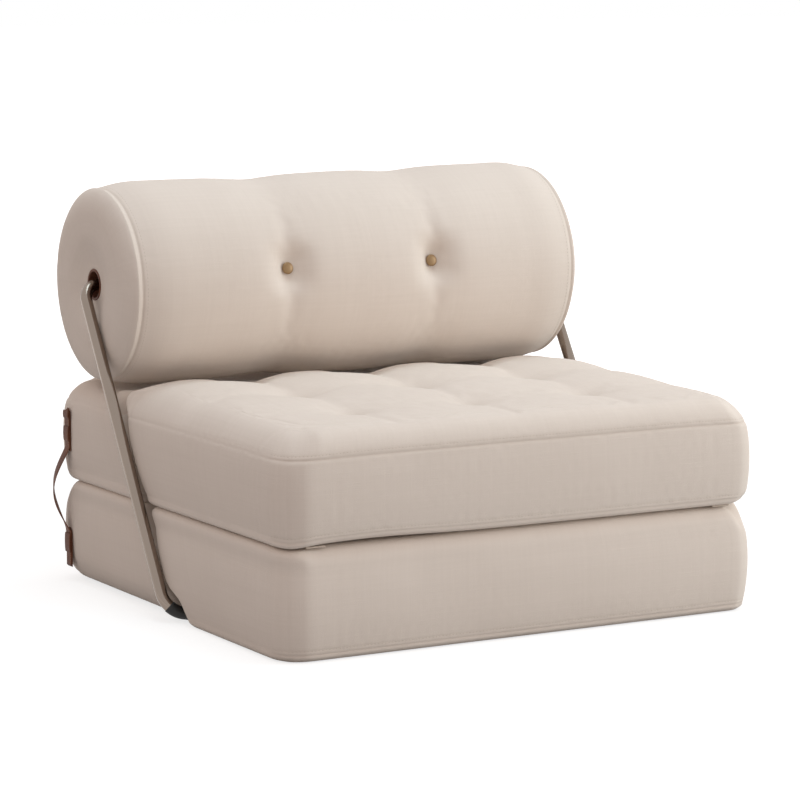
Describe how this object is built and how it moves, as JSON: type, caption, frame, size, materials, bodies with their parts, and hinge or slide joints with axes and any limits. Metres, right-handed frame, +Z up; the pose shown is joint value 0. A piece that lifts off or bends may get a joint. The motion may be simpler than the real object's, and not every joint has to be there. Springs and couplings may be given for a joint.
{
  "type": "floor sofa bed",
  "caption": "Low floor sofa that folds open to a bed: stacked foam blocks, a leaning steel hoop and a round tufted bolster.",
  "frame": {"origin": "On the floor, under the middle of the overall box", "axes": "+X to the sitter's left when seated, seen from the front it points right; +Y to the rear, behind the bolster; +Z up from the floor"},
  "size_m": [0.9536, 0.8944, 0.7073],
  "materials": {
    "linen_fabric": "matte",
    "foam": "matte",
    "lining_fabric": "matte",
    "satin_steel": "satin",
    "inner_steel": "satin",
    "black_rubber": "matte",
    "core_board": "matte",
    "brown_leather": "satin",
    "bronze_button": "satin",
    "twine": "matte"
  },
  "bodies": {
    "base": {"lower_front_cover": "linen_fabric", "lower_front_foam": "foam", "lower_rear_cover": "linen_fabric", "lower_rear_foam": "foam", "rear_seat_cover": "linen_fabric", "rear_seat_foam": "foam", "hinge_tabs_lower": "lining_fabric", "bar_pocket": "lining_fabric", "strap_left": "brown_leather", "strap_right": "brown_leather", "strap_backing_left": "brown_leather", "strap_backing_right": "brown_leather", "strap_keepers_left": "brown_leather", "strap_keepers_right": "brown_leather"},
    "seat": {"seat_cover": "linen_fabric", "seat_foam": "foam", "hinge_tabs_upper": "lining_fabric"},
    "frame": {"frame_hoop": "satin_steel", "cross_tube": "inner_steel", "set_screws": "inner_steel", "floor_sleeve_left": "black_rubber", "floor_sleeve_right": "black_rubber"},
    "bolster": {"bolster_cover": "linen_fabric", "bolster_foam": "foam", "core_tube": "core_board", "hole_liner_left": "brown_leather", "hole_liner_right": "brown_leather", "bolster_button_left": "bronze_button", "bolster_button_right": "bronze_button", "button_ties": "twine"}
  },
  "joints": [
    {"name": "seat_fold", "type": "hinge", "parent": "base", "child": "seat", "pos_m": [0, -0.4475, 0.18125], "axis": [1, 0, 0], "range_deg": [0, 177.5]},
    {"name": "frame_tilt", "type": "hinge", "parent": "base", "child": "frame", "pos_m": [0, -0.0515, 0.013], "axis": [1, 0, 0], "range_deg": [0, 60]},
    {"name": "bolster_turn", "type": "hinge", "parent": "frame", "child": "bolster", "pos_m": [0, 0.2715, 0.5326], "axis": [1, 0, 0], "continuous": true}
  ]
}
